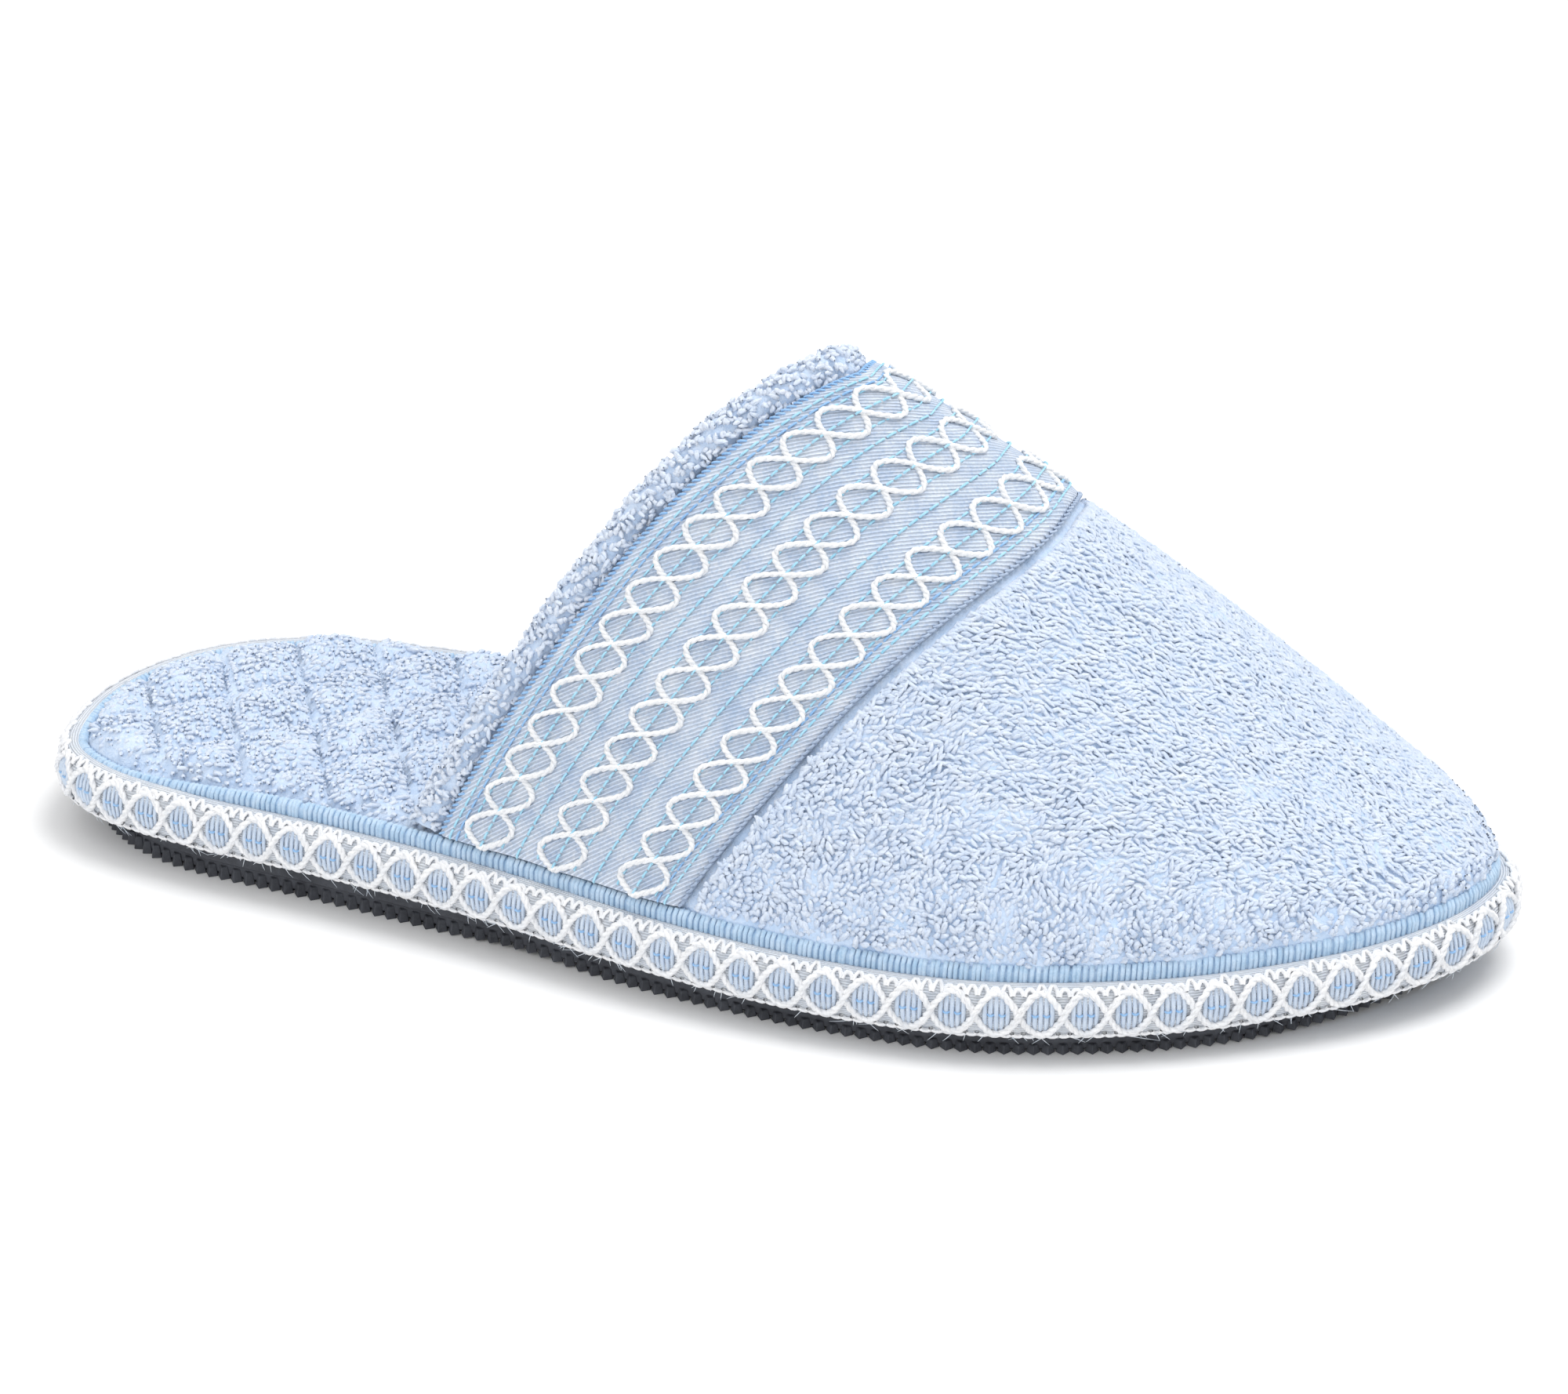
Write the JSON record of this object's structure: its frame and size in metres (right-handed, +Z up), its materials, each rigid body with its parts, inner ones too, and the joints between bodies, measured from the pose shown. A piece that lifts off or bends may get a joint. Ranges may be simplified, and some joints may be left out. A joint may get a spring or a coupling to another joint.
{
  "type": "scuff slipper",
  "caption": "Open-back scuff slipper with a fleece upper, woven trim band, quilted insole, bound edge and flat rubber sole.",
  "frame": {"origin": "centre of the bounding box in plan, on the floor the sole stands on", "axes": "+X from the heel to the toe, +Y to the big-toe side, +Z up"},
  "size_m": [0.255, 0.096, 0.0954],
  "materials": {
    "outsole_rubber": "matt moulded charcoal rubber with a ribbed lower edge",
    "quilted_fleece": "pale blue short pile fleece, stitched in diamonds",
    "upper_fleece": "pale blue plush fleece, nap laid towards the toe",
    "woven_trim": "grey-blue woven tape with white wave yarns and light blue stitch lines",
    "collar_fleece": "fluffy light blue fleece roll",
    "binding_tape": "white and light blue woven tape folded round the edge",
    "selvedge": "light blue beaded overlock edge"
  },
  "bodies": {
    "root": {"outsole": "outsole_rubber", "insole": "quilted_fleece", "upper": "upper_fleece", "trim_band": "woven_trim", "collar_roll": "collar_fleece", "edge_binding": "binding_tape", "seam_piping": "selvedge"}
  },
  "joints": []
}
